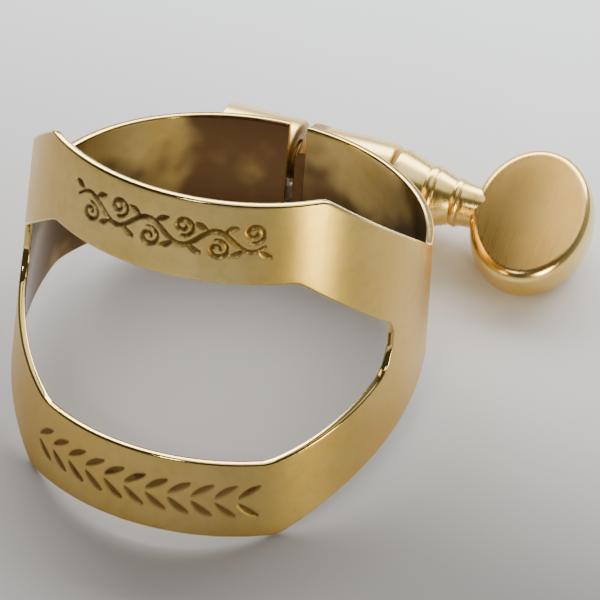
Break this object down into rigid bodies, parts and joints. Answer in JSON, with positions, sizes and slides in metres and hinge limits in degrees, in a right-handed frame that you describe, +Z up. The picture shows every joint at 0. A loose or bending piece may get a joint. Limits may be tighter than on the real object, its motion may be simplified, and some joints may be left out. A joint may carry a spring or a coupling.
{
  "type": "saxophone ligature",
  "caption": "Formed metal ring with a front window that clamps a reed to a woodwind mouthpiece, closed at the rear by a thumb screw through barrel lugs",
  "frame": {"origin": "centre of the bottom of the bounding box: the table that the ligature lies on is z = 0", "axes": "+X along the screw towards the thumb plate, -Y towards the window and reed side, +Z up from the table; the ring leans back about X by the angle of its rest"},
  "size_m": [0.033, 0.0364, 0.0231],
  "materials": {
    "band": "satin gold lacquer, polished edges",
    "plain_lug": "satin gold lacquer",
    "threaded_lug": "satin gold lacquer",
    "screw_spindle": "polished gold lacquer",
    "thumb_plate": "brushed face, polished rim"
  },
  "bodies": {
    "ring": {"band": "band", "plain_lug": "plain_lug"},
    "tapped_end": {"threaded_lug": "threaded_lug"},
    "thumb_screw": {"screw_spindle": "screw_spindle", "thumb_plate": "thumb_plate"}
  },
  "joints": [
    {"name": "screw_turn", "type": "hinge", "parent": "ring", "child": "thumb_screw", "pos_m": [-0.00326, 0.01304, 0.00306], "axis": [-1, 0, 0], "range_deg": [-1080, 300]},
    {"name": "band_close", "type": "slide", "parent": "ring", "child": "tapped_end", "axis": [1, 0, 0], "range_m": [-0.0018, 0.0005], "deforming": ["band"]}
  ],
  "couplings": [
    {"joint": "screw_turn", "follows": "band_close", "rad_per_m": 10472}
  ]
}
